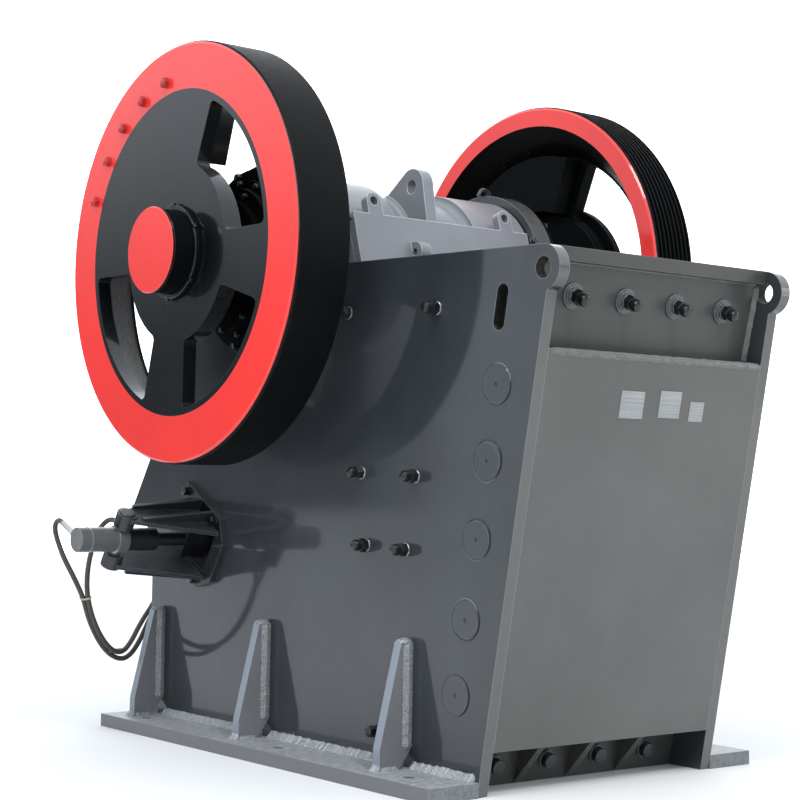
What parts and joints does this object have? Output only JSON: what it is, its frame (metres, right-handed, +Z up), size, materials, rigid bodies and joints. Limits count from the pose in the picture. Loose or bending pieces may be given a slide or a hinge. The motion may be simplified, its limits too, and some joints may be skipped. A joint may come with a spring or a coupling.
{
  "type": "jaw crusher",
  "caption": "Single-toggle jaw crusher: leaning plate frame, swinging jaw on an eccentric shaft, spoked flywheel, grooved drive sheave, toggle plate and hydraulic setting wedges.",
  "frame": {"origin": "centre of the rectangle of four corner foot bolts, at floor level", "axes": "X across the machine with the flywheel on the -X side, Y from the front wall to the rear, Z up"},
  "size_m": [2.428, 2.827, 2.861],
  "materials": {
    "black_paint": "gloss black paint",
    "frame_paint": "semi-gloss slate grey paint",
    "manganese_steel": "cast manganese steel",
    "bright_steel": "machined steel",
    "red_paint": "gloss red paint",
    "hose_rubber": "dusty black rubber",
    "zinc": "zinc plated steel",
    "jaw_paint": "grey paint on casting",
    "ram_paint": "dark grey paint",
    "spring_steel": "black oxide spring steel"
  },
  "bodies": {
    "frame": {"bearing_cover_left": "black_paint", "bearing_cover_right": "black_paint", "bearing_housing_left": "frame_paint", "bearing_housing_right": "frame_paint", "cheek_plate_left": "manganese_steel", "cheek_plate_right": "manganese_steel", "fixed_jaw_die": "manganese_steel", "fixed_jaw_wall": "frame_paint", "foot_left": "frame_paint", "foot_right": "frame_paint", "front_ribs": "frame_paint", "front_wall_cover": "frame_paint", "gussets_left": "frame_paint", "gussets_right": "frame_paint", "hose_block": "frame_paint", "hose_end": "hose_rubber", "hose_ferrules": "zinc", "hose_rod": "hose_rubber", "ram_bracket_left": "frame_paint", "ram_bracket_right": "frame_paint", "rear_beam": "frame_paint", "setting_ram_left": "ram_paint", "setting_ram_right": "ram_paint", "setting_wedge_front": "bright_steel", "setting_wedge_rear": "bright_steel", "side_plate_left": "frame_paint", "side_plate_right": "frame_paint", "tie_beam": "frame_paint", "toggle_seat": "manganese_steel"},
    "rotor": {"eccentric_shaft": "bright_steel", "flywheel_back_ring": "red_paint", "flywheel_cap": "red_paint", "flywheel_face_ring": "red_paint", "flywheel_hub": "black_paint", "flywheel_rim": "black_paint", "flywheel_sleeve": "black_paint", "flywheel_web": "black_paint", "flywheel_weight": "black_paint", "sheave_back_ring": "red_paint", "sheave_cap": "red_paint", "sheave_face_ring": "red_paint", "sheave_hub": "black_paint", "sheave_rim": "black_paint", "sheave_sleeve": "black_paint", "sheave_web": "black_paint", "sheave_weight": "black_paint"},
    "jaw": {"jaw_barrel": "jaw_paint", "jaw_guard_plate": "jaw_paint", "jaw_heel": "jaw_paint", "jaw_lifting_lug": "jaw_paint", "jaw_ribs": "jaw_paint", "jaw_slab": "jaw_paint", "moving_jaw_die": "manganese_steel", "tension_rod": "bright_steel", "tension_spring": "spring_steel"},
    "toggle": {"toggle_plate": "manganese_steel"}
  },
  "joints": [
    {"name": "rotor_turn", "type": "hinge", "parent": "frame", "child": "rotor", "pos_m": [0, 0.238, 2.011], "axis": [1, 0, 0], "continuous": true},
    {"name": "jaw_swing", "type": "hinge", "parent": "frame", "child": "jaw", "pos_m": [0, 0.238, 2.011], "axis": [1, 0, 0], "range_deg": [-0.6, 0.6]},
    {"name": "toggle_rock", "type": "hinge", "parent": "frame", "child": "toggle", "pos_m": [0, 0.59714, 0.77038], "axis": [1, 0, 0], "range_deg": [-1.05, 1.05]}
  ],
  "couplings": [
    {"joint": "toggle_rock", "follows": "jaw_swing", "ratio": 1.7277}
  ]
}
